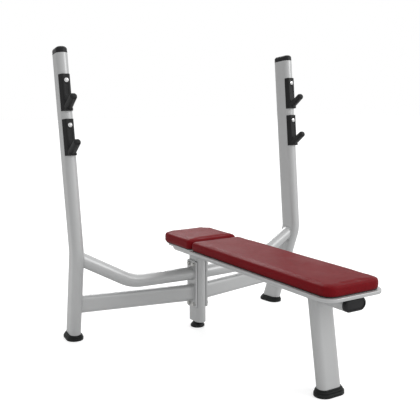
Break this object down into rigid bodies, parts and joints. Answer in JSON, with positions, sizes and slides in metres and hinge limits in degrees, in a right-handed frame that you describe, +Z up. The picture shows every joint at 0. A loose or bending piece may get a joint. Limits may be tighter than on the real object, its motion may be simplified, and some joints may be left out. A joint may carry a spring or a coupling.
{
  "type": "olympic bench press",
  "caption": "Flat padded bench with two leaning uprights, each carrying black J-shaped bar catches; flat-oval steel frame on rubber feet and a levelling foot.",
  "frame": {"origin": "on the floor at the centre of the bounding box", "axes": "+X to the lifter's right when facing the uprights from the bench's foot end, +Y towards the uprights, +Z up"},
  "size_m": [1.246, 1.2796, 1.2882],
  "materials": {
    "frame_paint": "satin silver-grey powder coat",
    "cap_plastic": "black moulded, fine grain",
    "boot_rubber": "black, matt",
    "catch_plastic": "black nylon, satin",
    "zinc_steel": "zinc plated",
    "bright_steel": "bright plated",
    "board_wood": "plywood under a black backing cloth",
    "pad_cover": "deep red grained upholstery cover",
    "leveller_plastic": "black, satin"
  },
  "bodies": {
    "frame": {"main_beam": "frame_paint", "beam_rear_plate": "frame_paint", "front_leg": "frame_paint", "centre_post": "frame_paint", "post_base_plate": "frame_paint", "left_bracket_plate": "frame_paint", "right_bracket_plate": "frame_paint", "left_upright": "frame_paint", "right_upright": "frame_paint", "left_upper_brace": "frame_paint", "right_upper_brace": "frame_paint", "left_lower_brace": "frame_paint", "right_lower_brace": "frame_paint", "main_tray": "frame_paint", "head_tray": "frame_paint", "main_tray_bars": "frame_paint", "head_tray_bars": "frame_paint", "beam_front_cap": "cap_plastic", "left_upright_cap": "cap_plastic", "right_upright_cap": "cap_plastic", "front_boot": "boot_rubber", "left_upright_boot": "boot_rubber", "right_upright_boot": "boot_rubber", "left_upper_catch": "catch_plastic", "left_lower_catch": "catch_plastic", "right_upper_catch": "catch_plastic", "right_lower_catch": "catch_plastic", "post_weld_nut": "zinc_steel", "bracket_bolts": "zinc_steel", "bracket_washers": "zinc_steel", "bracket_nuts": "zinc_steel", "catch_inserts": "zinc_steel", "pad_screws": "zinc_steel", "pad_screw_washers": "zinc_steel", "catch_bolts": "bright_steel", "catch_washers": "bright_steel", "main_pad_board": "board_wood", "head_pad_board": "board_wood", "main_pad": "pad_cover", "head_pad": "pad_cover"},
    "leveller": {"leveller_pad": "leveller_plastic", "leveller_stem": "zinc_steel"}
  },
  "joints": [
    {"name": "leveller_screw", "type": "slide", "parent": "frame", "child": "leveller", "axis": [0, 0, -1], "range_m": [0, 0.012]}
  ]
}
